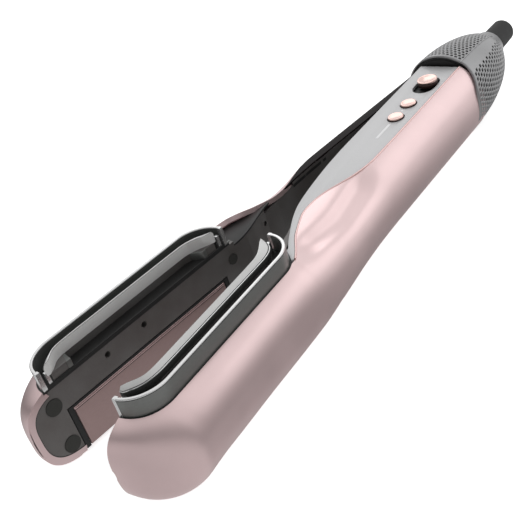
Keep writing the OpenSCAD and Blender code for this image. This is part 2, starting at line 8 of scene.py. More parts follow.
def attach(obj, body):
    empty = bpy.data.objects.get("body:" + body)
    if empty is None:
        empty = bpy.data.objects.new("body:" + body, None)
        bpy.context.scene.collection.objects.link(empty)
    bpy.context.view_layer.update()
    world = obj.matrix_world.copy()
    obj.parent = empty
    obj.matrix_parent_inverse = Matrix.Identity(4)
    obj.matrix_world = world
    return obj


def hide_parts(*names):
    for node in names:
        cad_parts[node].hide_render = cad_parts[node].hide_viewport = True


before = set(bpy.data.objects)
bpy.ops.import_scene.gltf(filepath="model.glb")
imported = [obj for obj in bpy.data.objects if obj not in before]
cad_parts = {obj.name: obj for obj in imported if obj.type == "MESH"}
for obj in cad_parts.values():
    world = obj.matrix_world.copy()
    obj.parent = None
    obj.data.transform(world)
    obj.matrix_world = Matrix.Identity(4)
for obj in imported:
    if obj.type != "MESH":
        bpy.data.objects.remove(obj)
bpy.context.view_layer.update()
scene = bpy.context.scene

MM = 0.001
PIN_X, PIN_Y = 12.0, 16.0
OPEN = math.radians(9.1)
C, S = math.cos(OPEN), math.sin(OPEN)


# ------------------------------------------------------------------ helpers

def on_handle(x, y, z):
    """Drawing millimetres of the handle arm to metres in the CAD frame."""
    return ((x - PIN_X) * MM, y * MM, z * MM)


def on_lever(x, y, z):
    """The same drawing, mirrored and swung open on the hinge pin."""
    dx, dy = x - PIN_X, PIN_Y - y
    return ((C * dx + S * dy) * MM, (-S * dx + C * dy - PIN_Y) * MM, z * MM)


ARMS = {"handle": on_handle, "lever": on_lever}


def curve_of(points):
    """Monotone cubic through a table of (x, value)."""
    xs = np.array([p[0] for p in points], float)
    ys = np.array([p[1] for p in points], float)
    h = np.diff(xs)
    d = np.diff(ys) / h
    m = np.zeros(len(xs))
    m[0], m[-1] = d[0], d[-1]
    for i in range(1, len(xs) - 1):
        if d[i - 1] * d[i] > 0:
            w1, w2 = 2 * h[i] + h[i - 1], h[i] + 2 * h[i - 1]
            m[i] = (w1 + w2) / (w1 / d[i - 1] + w2 / d[i])

    def value(x):
        i = int(np.clip(np.searchsorted(xs, x) - 1, 0, len(h) - 1))
        t = min(max((x - xs[i]) / h[i], 0.0), 1.0)
        return float((2 * t**3 - 3 * t**2 + 1) * ys[i] + (t**3 - 2 * t**2 + t) * h[i] * m[i]
                     + (3 * t**2 - 2 * t**3) * ys[i + 1] + (t**3 - t**2) * h[i] * m[i + 1])
    return value


def smooth(edge0, edge1, x):
    """0 below the first edge, 1 above the second, eased between."""
    t = min(max((x - edge0) / (edge1 - edge0), 0.0), 1.0)
    return t * t * (3 - 2 * t)


def add_mesh(name, verts, faces, mats, body, face_mats=None, auto=35.0):
    """A mesh piece riding on a body, shaded smooth with sharp creases."""
    mesh = bpy.data.meshes.new(name)
    mesh.from_pydata([tuple(v) for v in verts], [], [tuple(f) for f in faces])
    bm = bmesh.new()
    bm.from_mesh(mesh)
    bmesh.ops.remove_doubles(bm, verts=bm.verts, dist=2e-7)
    bmesh.ops.dissolve_degenerate(bm, dist=1e-8, edges=bm.edges)
    if face_mats is None:
        bmesh.ops.recalc_face_normals(bm, faces=bm.faces)
    bm.to_mesh(mesh)
    bm.free()
    for m in mats:
        mesh.materials.append(m)
    if face_mats is not None and len(face_mats) == len(mesh.polygons):
        mesh.polygons.foreach_set("material_index", face_mats)
        bm = bmesh.new()
        bm.from_mesh(mesh)
        bmesh.ops.recalc_face_normals(bm, faces=bm.faces)
        bm.to_mesh(mesh)
        bm.free()
    mesh.polygons.foreach_set("use_smooth", [True] * len(mesh.polygons))
    mesh.set_sharp_from_angle(angle=math.radians(auto))
    obj = bpy.data.objects.new(name, mesh)
    scene.collection.objects.link(obj)
    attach(obj, body)
    return obj


def bevel(obj, width, segments=2, angle=40):
    """Ease the edges of a piece; the width is in millimetres."""
    mod = obj.modifiers.new("bevel", "BEVEL")
    mod.width = width * MM
    mod.segments = segments
    mod.limit_method = "ANGLE"
    mod.angle_limit = math.radians(angle)
    mod.harden_normals = False
    return mod


def grid_faces(rows, cols):
    """Four-sided faces between rows of points, each row closed round."""
    out = []
    for i in range(rows - 1):
        for j in range(cols):
            k = (j + 1) % cols
            out.append((i * cols + j, i * cols + k, (i + 1) * cols + k, (i + 1) * cols + j))
    return out


def loft(name, sections, mats, body, place, face_mats=None, auto=35.0):
    """Closed sections of equal length, given as (x, y, z) in drawing millimetres."""
    n = len(sections[0])
    verts = [place(*p) for s in sections for p in s]
    faces = grid_faces(len(sections), n)
    faces += [tuple(range(n)), tuple((len(sections) - 1) * n + j for j in range(n))]
    fm = None
    if face_mats:
        fm = face_mats * (len(sections) - 1) + [face_mats[0]] * 2
    return add_mesh(name, verts, faces, mats, body, fm, auto)


def flat_plate(name, loops, z0, z1, mats, body, place, edge=0.2):
    """A flat plate between z0 and z1 with rounded edges; the first loop is the outline."""
    curve = bpy.data.curves.new(name, "CURVE")
    curve.dimensions = "2D"
    curve.fill_mode = "BOTH"
    curve.extrude = (z1 - z0) * 0.5 - edge
    curve.bevel_depth = edge
    curve.bevel_resolution = 2
    curve.offset = -edge
    for loop in loops:
        spline = curve.splines.new("POLY")
        spline.points.add(len(loop) - 1)
        for p, q in zip(spline.points, loop):
            p.co = (q[0], q[1], 0, 1)
        spline.use_cyclic_u = True
    tmp = bpy.data.objects.new(name + "_curve", curve)
    scene.collection.objects.link(tmp)
    deps = bpy.context.evaluated_depsgraph_get()
    mesh = bpy.data.meshes.new_from_object(tmp.evaluated_get(deps))
    verts = [place(v.co.x, v.co.y, v.co.z + 0.5 * (z0 + z1)) for v in mesh.vertices]
    faces = [tuple(p.vertices) for p in mesh.polygons]
    bpy.data.objects.remove(tmp)
    bpy.data.meshes.remove(mesh)
    bpy.data.curves.remove(curve)
    return add_mesh(name, verts, faces, mats, body, auto=30.0)


def circle(x, y, r, n=40):
    """Outline of a round hole."""
    return [(x + r * math.cos(2 * math.pi * k / n), y + r * math.sin(2 * math.pi * k / n))
            for k in range(n)]


def lathe(name, profile, centre, axis, mats, body, face_mats=None, n=64, auto=30.0):
    """A ring of (radius, height) points turned about an axis, in CAD millimetres."""
    cx, cy, cz = centre
    verts = []
    for r, h in profile:
        for k in range(n):
            a = 2 * math.pi * k / n
            u, v = r * math.cos(a), r * math.sin(a)
            p = (cx + u, cy + v, cz + h) if axis == "z" else (cx + h, cy + u, cz + v)
            verts.append(tuple(c * MM for c in p))
    faces = grid_faces(len(profile), n)
    fm = [m for m in face_mats for _ in range(n)] if face_mats else None
    return add_mesh(name, verts, faces, mats, body, fm, auto)


# ---------------------------------------------------------------- materials

GRAIN_HEIGHT = 0.00004   # metres


def material(name, base, rough, metal=0.0, mottle=0.06, mottle_scale=60.0, grain=0.15,
             grain_scale=1800.0, rough_var=0.08, spec=0.5, stretch=(1, 1, 1), second=None):
    """Principled finish with mottled colour, uneven gloss and a fine grain."""
    m = bpy.data.materials.new(name)
    m.use_nodes = True
    nt = m.node_tree
    bsdf = nt.nodes["Principled BSDF"]
    bsdf.inputs["Metallic"].default_value = metal
    bsdf.inputs["Specular IOR Level"].default_value = spec
    coords = nt.nodes.new("ShaderNodeTexCoord")
    mapping = nt.nodes.new("ShaderNodeMapping")
    mapping.inputs["Scale"].default_value = stretch
    nt.links.new(coords.outputs["Object"], mapping.inputs["Vector"])

    def noise(scale, detail):
        node = nt.nodes.new("ShaderNodeTexNoise")
        node.inputs["Scale"].default_value = scale
        node.inputs["Detail"].default_value = detail
        nt.links.new(mapping.outputs["Vector"], node.inputs["Vector"])
        return node

    broad = noise(mottle_scale, 3.0)
    fine = noise(grain_scale, 4.0)
    ramp = nt.nodes.new("ShaderNodeValToRGB")
    lo = second or tuple(c * (1 - mottle) for c in base)
    hi = base if second else tuple(min(1.0, c * (1 + mottle)) for c in base)
    ramp.color_ramp.elements[0].position = 0.3
    ramp.color_ramp.elements[1].position = 0.7
    ramp.color_ramp.elements[0].color = (*lo, 1)
    ramp.color_ramp.elements[1].color = (*hi, 1)
    nt.links.new(broad.outputs["Fac"], ramp.inputs["Fac"])
    speck = nt.nodes.new("ShaderNodeMix")
    speck.data_type = "RGBA"
    speck.blend_type = "OVERLAY"
    speck.inputs["Factor"].default_value = grain
    nt.links.new(ramp.outputs["Color"], speck.inputs[6])
    grey = nt.nodes.new("ShaderNodeRGBToBW")
    nt.links.new(fine.outputs["Color"], grey.inputs["Color"])
    nt.links.new(grey.outputs["Val"], speck.inputs[7])
    nt.links.new(speck.outputs[2], bsdf.inputs["Base Color"])
    span = nt.nodes.new("ShaderNodeMapRange")
    span.inputs["To Min"].default_value = max(0.02, rough - rough_var)
    span.inputs["To Max"].default_value = min(1.0, rough + rough_var)
    nt.links.new(broad.outputs["Fac"], span.inputs["Value"])
    nt.links.new(span.outputs["Result"], bsdf.inputs["Roughness"])
    bump = nt.nodes.new("ShaderNodeBump")
    bump.inputs["Strength"].default_value = min(1.0, grain)
    bump.inputs["Distance"].default_value = GRAIN_HEIGHT
    nt.links.new(fine.outputs["Fac"], bump.inputs["Height"])
    nt.links.new(bump.outputs["Normal"], bsdf.inputs["Normal"])
    return m


def lit_from_within(m, strength):
    """A stage surface that keeps its white with little light on it."""
    bsdf = m.node_tree.nodes["Principled BSDF"]
    bsdf.inputs["Emission Color"].default_value = (1, 1, 1, 1)
    bsdf.inputs["Emission Strength"].default_value = strength
    return m


def srgb(h):
    """A display colour written in hexadecimal as linear values."""
    v = [int(h[i:i + 2], 16) / 255 for i in (0, 2, 4)]
    return tuple(c / 12.92 if c <= 0.04045 else ((c + 0.055) / 1.055) ** 2.4 for c in v)


PEARL = material("pearl_rose", srgb("e4cbcb"), 0.34, metal=0.85, mottle=0.03, grain=0.10,
                 grain_scale=5200, rough_var=0.03)
PEARL_EDGE = material("pearl_rose_edge", srgb("e9c6c3"), 0.24, metal=0.6, mottle=0.03, grain=0.06,
                      grain_scale=4200, rough_var=0.03)
SILVER = material("strip_silver", srgb("c9c9ca"), 0.46, metal=0.35, mottle=0.025, grain=0.22,
                  grain_scale=3600, rough_var=0.05)
CAP = material("cap_silver", srgb("9a9a9b"), 0.36, metal=0.85, mottle=0.04, grain=0.2,
               grain_scale=3400, rough_var=0.06)
GREY = material("nozzle_grey", srgb("7b7d7b"), 0.36, metal=0.7, mottle=0.05, grain=0.16,
                grain_scale=2600, rough_var=0.06, stretch=(0.25, 0.25, 1))
# light grey for the nozzle posts and blade tabs, and a painted highlight on the top edges of the
# nozzle wall and blade
LIGHT_TRIM_AND_PAINTED_HIGHLIGHT = material("light_trim_and_painted_highlight", srgb("dedede"), 0.22, metal=0.85, mottle=0.03, grain=0.1,
                  grain_scale=2600, rough_var=0.05)
BAR = material("bar_silver", srgb("dadad9"), 0.42, metal=0.25, mottle=0.03, grain=0.2,
               grain_scale=3000, rough_var=0.05)
BAR_SIDE = material("bar_side", srgb("5b5c5b"), 0.42, metal=0.5, mottle=0.05, grain=0.15,
                    grain_scale=2600)
DARK = material("inner_dark", srgb("6b6968"), 0.40, metal=0.4, mottle=0.06, grain=0.16,
                grain_scale=2400, rough_var=0.06, second=srgb("5e5a58"))
# black for frames and dark parts, and also painted shade in grooves, gaps, the tip joint and the
# deep nozzle channel
BLACK_AND_PAINTED_SHADE = material("frame_black", srgb("161616"), 0.5, mottle=0.15, grain=0.12, grain_scale=2400)
# dark band colour whose brown tint is a painted reflection of the pink shell, with almost no
# specular of its own
DARK_BAND_PAINTED_REFLECTION = material("lever_band_painted_reflection", srgb("140c0d"), 0.4, mottle=0.12, grain=0.05, grain_scale=2400,
                 rough_var=0.04, spec=0.05)
PLATE = material("plate_rose", srgb("a38b89"), 0.30, metal=0.75, mottle=0.04, mottle_scale=40,
                 grain=0.12, grain_scale=2600, rough_var=0.05, stretch=(0.15, 1, 1))
# a lighter copy of the plate finish: painted highlight on the plate's upper edge
PLATE_PAINTED_HIGHLIGHT = material("plate_painted_highlight", srgb("d3b7b6"), 0.22, metal=0.75, mottle=0.03, grain=0.06,
                      grain_scale=2600)
RUBBER = material("pad_rubber", srgb("2c2c29"), 0.7, mottle=0.1, grain=0.3, grain_scale=1500)
STEEL = material("steel", srgb("9b9b9c"), 0.28, metal=1.0, mottle=0.06, grain=0.12,
                 grain_scale=2600)
ROSE_GOLD = material("rose_gold", srgb("e2c2ba"), 0.17, metal=1.0, mottle=0.04, grain=0.05,
                     grain_scale=3000, rough_var=0.04)
# dark brown on the sides of the knob and buttons: painted shade
SIDE_PAINTED_SHADE = material("knob_side_painted_shade", srgb("3a2622"), 0.3, metal=0.3, mottle=0.1, grain=0.1,
                 grain_scale=2400)
LIGHT = material("light_white", srgb("f4f4f5"), 0.35, mottle=0.02, grain=0.03, grain_scale=2400)
BOARD = material("board_green", srgb("1f5535"), 0.4, mottle=0.1, grain=0.15, grain_scale=1200)
COPPER = material("copper", srgb("b06a42"), 0.35, metal=1.0, mottle=0.08, grain=0.15)
SLEEVE = material("sleeve_grey", srgb("3c3c3c"), 0.6, mottle=0.06, grain=0.28, grain_scale=2200,
                  spec=0.15)
MESHING = material("filter_black", srgb("141414"), 0.8, mottle=0.2, grain=0.5, grain_scale=1500)

NODE_MATS = {
    "handle_liner": DARK, "lever_liner": DARK, "handle_side_wall": DARK, "base_strip": SILVER,
    "core_ring": BLACK_AND_PAINTED_SHADE, "motor_housing": DARK, "motor": STEEL, "motor_mounts": RUBBER,
    "impeller": GREY, "impeller_guard": DARK, "air_duct": DARK, "control_board": BOARD,
    "tact_switches": BLACK_AND_PAINTED_SHADE, "slide_switch": BLACK_AND_PAINTED_SHADE, "light_bar": LIGHT, "indicator_light": LIGHT,
    "filter_mesh": MESHING, "rear_frame": BLACK_AND_PAINTED_SHADE, "cord_sleeve": SLEEVE, "sleeve_collar": STEEL,
    "hinge_pin": STEEL, "hinge_spring": STEEL, "hinge_ears": BLACK_AND_PAINTED_SHADE,
    "handle_plate_frame": BLACK_AND_PAINTED_SHADE, "lever_plate_frame": BLACK_AND_PAINTED_SHADE, "handle_heater": COPPER,
    "lever_heater": COPPER, "handle_plate_springs": STEEL, "lever_plate_springs": STEEL,
    "handle_stop_pads": RUBBER, "lever_stop_pads": RUBBER, "handle_face_screws": STEEL,
    "lever_face_screws": STEEL, "lever_channel": BLACK_AND_PAINTED_SHADE, "lever_knuckle": BLACK_AND_PAINTED_SHADE,
    "handle_nozzle_wall": GREY, "lever_nozzle_wall": GREY, "handle_nozzle_bar": BAR,
    "lever_nozzle_bar": BAR, "handle_plate": PLATE, "lever_plate": PLATE,
    "handle_shell": PEARL, "lever_shell": PEARL, "control_strip": SILVER, "intake_cap": CAP,
    "power_slider": ROSE_GOLD, "mode_button": ROSE_GOLD, "heat_button": ROSE_GOLD,
}
for node, m in NODE_MATS.items():
    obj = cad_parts[node]
    obj.data.materials.clear()
    obj.data.materials.append(m)

# ------------------------------------------------------------------- camera

CAM_POS = Vector((0.4351, 0.2702, 0.2779))
RIGHT = Vector((-0.54292, 0.79323, -0.27572))
UP = Vector((-0.59042, -0.12707, 0.79703))
cam_data = bpy.data.cameras.new("camera")
cam = bpy.data.objects.new("camera", cam_data)
scene.collection.objects.link(cam)
back = RIGHT.cross(UP).normalized()
up = back.cross(RIGHT).normalized()
right = up.cross(back)
cam.matrix_world = Matrix((
    (right.x, up.x, back.x, CAM_POS.x), (right.y, up.y, back.y, CAM_POS.y),
    (right.z, up.z, back.z, CAM_POS.z), (0, 0, 0, 1)))
cam_data.sensor_width = 36
cam_data.lens = 72.85
cam_data.clip_start = 0.01
cam_data.clip_end = 20
scene.camera = cam

# -------------------------------------------------------------- arm outlines

# Drawing of an arm, in millimetres: x along it, y out from the meeting plane, z up.
MID_Z = 19.5                # height of an arm's widest line
TOP_Z = 38.0                # top of the handle at the control strip
SKIN_Y = 0.4                # the skin's inner edge at the tip, from the meeting plane
SHELL_WALL = 2.3
# the nozzle wall is a long oval: straight from NOZ_REAR to NOZ_FRONT, rounded beyond
NOZ_REAR, NOZ_REAR_R = 183, 14.7
NOZ_FRONT, NOZ_FRONT_R = 257, 16.4
NOZ_Y, NOZ_WIDE = 0.3, 15.1
NOZ_GAP = 0.8               # joint between the nozzle wall and the skin
NOZ_BEHIND = 174            # the seam follows the waist up to here, the nozzle beyond


def nozzle_y(x, g=0.0):
    """Outer edge of the nozzle wall across the arm at x, grown by g."""
    if x < NOZ_REAR:
        t = (NOZ_REAR - x) / (NOZ_REAR_R + g)
    elif x > NOZ_FRONT:
        t = (x - NOZ_FRONT) / (NOZ_FRONT_R + g)
    else:
        t = 0.0
    return NOZ_Y + (NOZ_WIDE + g) * math.sqrt(max(0.0, 1 - t * t))


# The tip closes along superellipses in plan (width) and in side view (height)
TIP_C, TIP_L, TIP_WIDE, TIP_HIGH = 263.2, 23.5, 1.8, 3.0


def tip_scale(x, power=TIP_WIDE):
    """How much of its full width or height an arm still has at x."""
    t = min(1.0, max(0.0, x - TIP_C) / TIP_L)
    return max(0.0, 1 - t ** power) ** (1 / power)


handle_seam = curve_of([(0, 9.6), (8.5, 9.6), (64.5, 9.4), (96, 8.9), (103.6, 7.8), (111.4, 5.6),
                        (117.6, 3.0), (126.6, -0.7), (132, -1.8), (137.5, -2.1), (142.4, -1.6),
                        (146, -0.4), (152, 2.0), (158.2, 4.8), (166.7, 10.4), (171, 13.1),
                        (174, 14.6)])
handle_out = curve_of([(0, 21), (95, 21.1), (115, 21.4), (135, 22.6), (150, 24), (180, 26),
                       (215, 26.4), (245, 27.4), (256, 27.6)])
lever_seam = curve_of([(0, 18.2), (92, 18.0), (102, 16.9), (107.5, 15.3), (118, 11.8),
                       (121, 11.0), (129, 10.2), (134, 10.3), (141, 10.9), (147, 12.2),
                       (155, 15.2), (163, 15.9), (174, 16.2)])
lever_out = curve_of([(0, 22.4), (60, 22.4), (100, 22.0), (118, 19.6), (128, 18.6), (138, 19.6),
                      (150, 23), (180, 26), (215, 26.4), (245, 27.4), (256, 27.6)])
lever_top = curve_of([(0, 33.2), (110, 33.2), (120, 33.4), (128, 33.9), (138, 35.6), (150, 37.4),
                      (160, 37.5), (300, 37.5)])
expo = curve_of([(0, 2.0), (100, 2.0), (130, 2.15), (150, 2.35), (175, 2.7), (215, 2.85),
                 (300, 2.75)])
lever_expo = curve_of([(0, 2.5), (130, 2.5), (150, 2.6), (175, 2.7), (215, 2.85), (300, 2.75)])
centre_y = curve_of([(0, -1.5), (110, -1.5), (150, -1.0), (180, 0.6), (300, 0.6)])
lever_centre = curve_of([(0, 12.0), (96, 12.0), (118, 8.0), (140, 5.0), (165, 2.0), (180, 0.6),
                         (300, 0.6)])
handle_base = curve_of([(0, 7.4), (157.5, 7.4), (160, 2.0), (173.4, 1.0), (174, 3.7),
                        (262, 3.7), (273, 0.6), (290, 0.6)])
lever_base = curve_of([(0, 14.4), (104, 13.6), (127, 11.2), (150, 8.5), (166, 3.7),
                       (262, 3.7), (273, 0.6), (290, 0.6)])


def seam_of(arm, x):
    """The skin's upper edge: along the strip, round the nozzle, then the meeting plane."""
    table = handle_seam if arm == "handle" else lever_seam
    if x < NOZ_BEHIND:
        return table(x)
    if x >= NOZ_FRONT + NOZ_FRONT_R + NOZ_GAP:
        return SKIN_Y
    wall, waist = nozzle_y(x, NOZ_GAP), table(NOZ_BEHIND)
    if wall < waist:
        k = smooth(NOZ_BEHIND, 186, x)
        return waist * (1 - k) + wall * k
    return wall


# Line along the waist where the body steps down from the panel beside the strip
fold_line = curve_of([(100, 8.6), (111, 7.6), (118, 8.0), (128, 9.2), (139, 10.4), (149, 9.9),
                      (158, 9.2), (170, 11.0)])
FOLD_DEPTH, FOLD_DROP = 3.3, 1.7      # how far down, and how short the step is
FOLD_RISE_AT, FOLD_RISE = 7.5, 3.4    # how far out it comes up again, and over what width
SWELL_FROM, SWELL_TO = 257.0, 280     # the tip's top comes down to the meeting plane here


def profile(arm, x, n=58):
    """Outside of an arm at x, from its upper seam round to its lower edge, as (y, z)."""
    lever = arm == "lever"
    wide, high = tip_scale(x), tip_scale(x, TIP_HIGH)
    e_mid = (lever_expo if lever else expo)(x)
    e_top = e_mid - 0.9 * smooth(236, 280, x)
    e_low = e_mid + 0.9 * smooth(250, 280, x)
    centre = (lever_centre if lever else centre_y)(x)
    half = (lever_out if lever else handle_out)(min(x, 256)) - centre
    z_top = lever_top(x) if lever else TOP_Z - 0.4 * smooth(150, 170, x)
    z_low = (2.0 * (1 - smooth(92, 160, x)) if lever else 0.0) + 0.05
    z_mid = MID_Z if not lever else 18.0 + 1.5 * smooth(110, 160, x)
    base = lever_base if lever else handle_base
    reach = half * wide

    # the upper curve passes through the seam, and the lower one through the base edge
    xs = min(x, SWELL_FROM)
    e_seam = e_mid - 0.9 * smooth(236, 280, xs)
    at_seam = abs((seam_of(arm, xs) - centre) / half) ** e_seam
    swell = 1 + ((1 - at_seam) ** (-1 / e_seam) - 1) * (1 - smooth(SWELL_FROM, SWELL_TO, x))
    rise = (z_top - z_mid) * swell * high
    at_base = abs((base(min(x, 230)) - centre) / half) ** e_low
    fall = (z_mid - z_low) / (1 - at_base) ** (1 / e_low) * high
    y_seam = min(seam_of(arm, x), centre + reach * 0.97) if wide > 0 else centre
    y_base = min(base(x), centre + reach * 0.999)

    def angle_at(y, e):
        r = (y - centre) / max(reach, 1e-6)
        return math.acos(max(-1, min(1, math.copysign(abs(r) ** (e / 2), r))))

    ts = np.concatenate([np.linspace(angle_at(y_seam, e_top), 0, n, endpoint=False),
                         np.linspace(0, -angle_at(y_base, e_low), n)])
    fold = 0.0 if lever else FOLD_DEPTH * smooth(100, 116, x) * (1 - smooth(156, 173, x))
    y_turn = fold_line(x)
    pts = []
    for t in ts:
        cs, sn = math.cos(t), math.sin(t)
        e = e_top if sn >= 0 else e_low
        y = centre + reach * math.copysign(abs(cs) ** (2 / e), cs)
        z = z_mid + (rise if sn >= 0 else fall) * math.copysign(abs(sn) ** (2 / e), sn)
        if fold > 0 and t > 0:
            step_down = 0.5 * (1 + math.tanh((y - y_turn) / FOLD_DROP))
            stays_down = 0.5 * (1 - math.tanh((y - y_turn - FOLD_RISE_AT) / FOLD_RISE))
            z -= fold * step_down * stays_down
        pts.append((y, z))
    return pts


def thick_section(x, pts, wall):
    """Closed section: outside points, then the inside ones set in by the wall."""
    p = np.array(pts)
    t = np.gradient(p, axis=0)
    length = np.maximum(np.hypot(t[:, 0], t[:, 1]), 1e-9)
    inner = p + wall * np.stack([t[:, 1] / length, -t[:, 0] / length], axis=1)
    inner[:, 0] = np.maximum(inner[:, 0], min(p[:, 0].min(), SKIN_Y))
    return [(x, y, z) for y, z in p] + [(x, y, z) for y, z in inner[::-1]]


def stations(x0):
    """Where the skin's sections stand: close together at the waist, the nozzle ends and the tip."""
    xs = list(np.arange(x0, 100, 6.0)) + list(np.arange(100, 174, 1.5))
    xs += [173.3, 173.7, 174.2] + list(np.arange(175, 186, 1.0)) + list(np.arange(186, 254, 6.0))
    xs += [NOZ_FRONT + (NOZ_FRONT_R + NOZ_GAP) * math.sin(math.radians(a))
           for a in range(0, 90, 5)]
    xs += [273.9, 274.15, 274.25]
    xs += [TIP_C + TIP_L * math.sin(math.radians(a)) ** (2 / TIP_WIDE)
           for a in np.linspace(8, 90, 46)]
    return sorted({round(float(x), 3) for x in xs})


for arm, x0 in (("handle", 7.2), ("lever", 8.5)):
    secs = []
    for x in stations(x0):
        wide = tip_scale(x)
        if wide >= 0.02:
            secs.append(thick_section(x, profile(arm, x), min(SHELL_WALL, 9 * wide)))
    skin = loft(arm + "_skin", secs, [PEARL], arm, ARMS[arm], auto=50)
    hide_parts(arm + "_shell")

    # flat rim of the shell round the inner face at the tip, and inside it a black line of painted
    # shade along the joint
    for tag, m, d0, d1, y0 in (("tip_rim", PEARL, 0.4, 3.0, 0.44),
                               ("tip_joint_painted_shade", BLACK_AND_PAINTED_SHADE, 3.0, 3.3, 0.5)):
        ring = []
        for k in np.linspace(73, -84, 60):
            cs, sn = math.cos(math.radians(k)), math.sin(math.radians(k))
            row = []
            for d in (d0, d1):
                high = (18.0 if sn > 0 else 19.4) - d
                row.append((TIP_C + (TIP_L - d) * cs ** (2 / TIP_HIGH),
                            MID_Z + math.copysign(high * abs(sn) ** (2 / TIP_HIGH), sn)))
            (xa, za), (xb, zb) = row
            ring.append([(xa, y0, za), (xb, y0, zb), (xb, 1.6, zb), (xa, 1.6, za)])
        rim = loft(arm + "_" + tag, ring, [m], arm, ARMS[arm])


# ------------------------------------------------------- nozzles, faces, plates

def path_points(points, count):
    """Evenly spaced points on a smooth curve through the given ones."""
    p = np.array(points, float)
    t = np.concatenate([[0], np.cumsum(np.hypot(*np.diff(p, axis=0).T))])
    fx, fy = curve_of(list(zip(t, p[:, 0]))), curve_of(list(zip(t, p[:, 1])))
    return [(fx(v), fy(v)) for v in np.linspace(0, t[-1], count)]


def wall_point(k, d):
    """Point k along the nozzle wall (0 to 1), set in by d."""
    if k < 0.4:
        a = math.radians(90 * k / 0.4)
        return (NOZ_FRONT + (NOZ_FRONT_R - d) * math.cos(a),
                NOZ_Y + (NOZ_WIDE - d) * math.sin(a))
    if k > 0.6:
        a = math.radians(90 + 90 * (k - 0.6) / 0.4)
        return (NOZ_REAR + (NOZ_REAR_R - d) * math.cos(a),
                NOZ_Y + (NOZ_WIDE - d) * math.sin(a))
    return (NOZ_FRONT - (NOZ_FRONT - NOZ_REAR) * (k - 0.4) / 0.2, NOZ_Y + NOZ_WIDE - d)


# section of the nozzle wall as (set in, z), and the material of each side of it
WALL_SECTION = [(0.0, 36.6), (0.0, 44.95), (0.14, 45.05), (0.14, 45.25), (-0.05, 45.33),
                (-0.05, 45.72), (0.16, 45.93), (0.5, 45.98), (0.9, 45.98), (1.22, 45.9),
                (1.36, 45.6), (1.4, 45.2), (1.4, 38.0)]
# the wall's top lip takes the painted highlight, and the small groove under the lip is black as
# painted shade
WALL_MATS = [0, 3, 3, 1, 1, 1, 1, 1, 1, 1, 0, 0, 2]

INNER_EDGE = [(174.6, 0.55), (177, 1.5), (180, 3.2), (182.8, 4.6), (185.4, 5.6), (188.5, 6.1),
              (200, 6.2), (225, 6.2), (250, 6.25), (255, 6.2), (258.4, 5.9), (261, 5.0),
              (263.4, 3.2), (265.6, 1.5), (267.6, 0.55)]
OUTER_EDGE = [(173.5, 0.55), (173.6, 2.0), (174.8, 4.4), (177.2, 6.9), (181, 8.5), (186, 9.0),
              (200, 9.0), (225, 9.0), (248, 8.95), (254.5, 8.8), (260.5, 7.7), (264.6, 5.7),
              (267.4, 3.4), (269.0, 1.7), (269.3, 0.55)]
BAR_SECTION = [(0.0, 41.7), (0.0, 46.9), (0.05, 47.2), (0.13, 47.3), (0.5, 46.4),
               (0.8, 45.65), (0.82, 45.3), (0.87, 45.25), (0.89, 45.5),
               (0.97, 45.3), (1.0, 45.0), (1.0, 43.5), (0.8, 41.7)]
# the blade's top edge and the lip under its groove take the painted highlight; the groove is black
# as painted shade; the outer side below is darker
BAR_MATS = [0, 2, 2, 0, 0, 3, 3, 3, 2, 2, 1, 1, 1]

